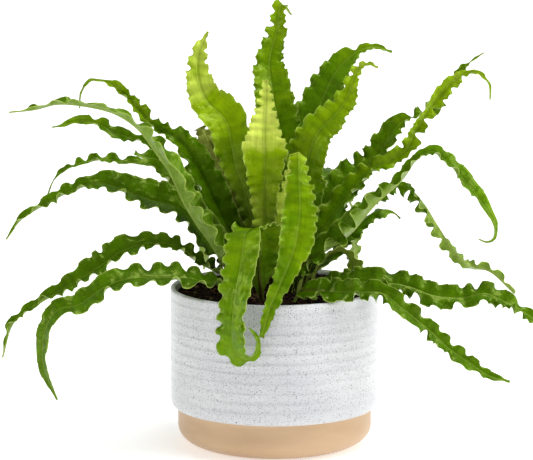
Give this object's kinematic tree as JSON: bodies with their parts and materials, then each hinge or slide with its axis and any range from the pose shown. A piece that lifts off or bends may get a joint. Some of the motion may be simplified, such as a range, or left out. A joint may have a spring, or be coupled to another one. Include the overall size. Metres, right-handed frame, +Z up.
{
  "type": "potted bird's nest fern",
  "caption": "Bird's nest fern with long wavy-edged fronds that rise and arch from a central crown, growing in a straight round glazed pot with a bare clay foot.",
  "frame": {"origin": "centre of the pot's flat underside", "axes": "+Z up, -Y towards the viewer of the picture, +X to that viewer's right"},
  "size_m": [0.4131, 0.2502, 0.3344],
  "materials": {
    "pot": "satin",
    "soil": "matte",
    "crown": "matte",
    "leaf_dark": "satin",
    "leaf_mid": "satin",
    "leaf_pale": "satin"
  },
  "bodies": {
    "root": {"pot": "pot", "soil": "soil", "crown": "crown", "frond_top_tall": "leaf_dark", "frond_centre": "leaf_pale", "frond_left_upright": "leaf_pale", "frond_old": "leaf_dark", "frond_left_back": "leaf_dark", "frond_right_upright_dark": "leaf_dark", "frond_right_upright_pale": "leaf_pale", "frond_front_right": "leaf_mid", "frond_front_left": "leaf_mid", "frond_right_tall_dark": "leaf_dark", "frond_right_tall_pale": "leaf_pale", "frond_right_arch": "leaf_mid", "frond_right_thin": "leaf_mid", "frond_right_low": "leaf_mid", "frond_right_droop": "leaf_mid", "frond_right_blunt": "leaf_pale", "frond_right_short": "leaf_dark", "frond_left_channelled": "leaf_dark", "frond_left_high": "leaf_pale", "frond_left_behind": "leaf_dark", "frond_left_pale": "leaf_pale", "frond_left_snub": "leaf_dark", "frond_left_big": "leaf_mid", "frond_left_low": "leaf_mid", "frond_left_lowest": "leaf_mid", "frond_back_right": "leaf_mid", "frond_back_middle": "leaf_mid", "frond_back_left": "leaf_mid", "frond_back_low_right": "leaf_dark", "frond_back_low_middle": "leaf_dark", "frond_back_low_left": "leaf_dark", "frond_back_low_side": "leaf_dark"}
  },
  "joints": []
}
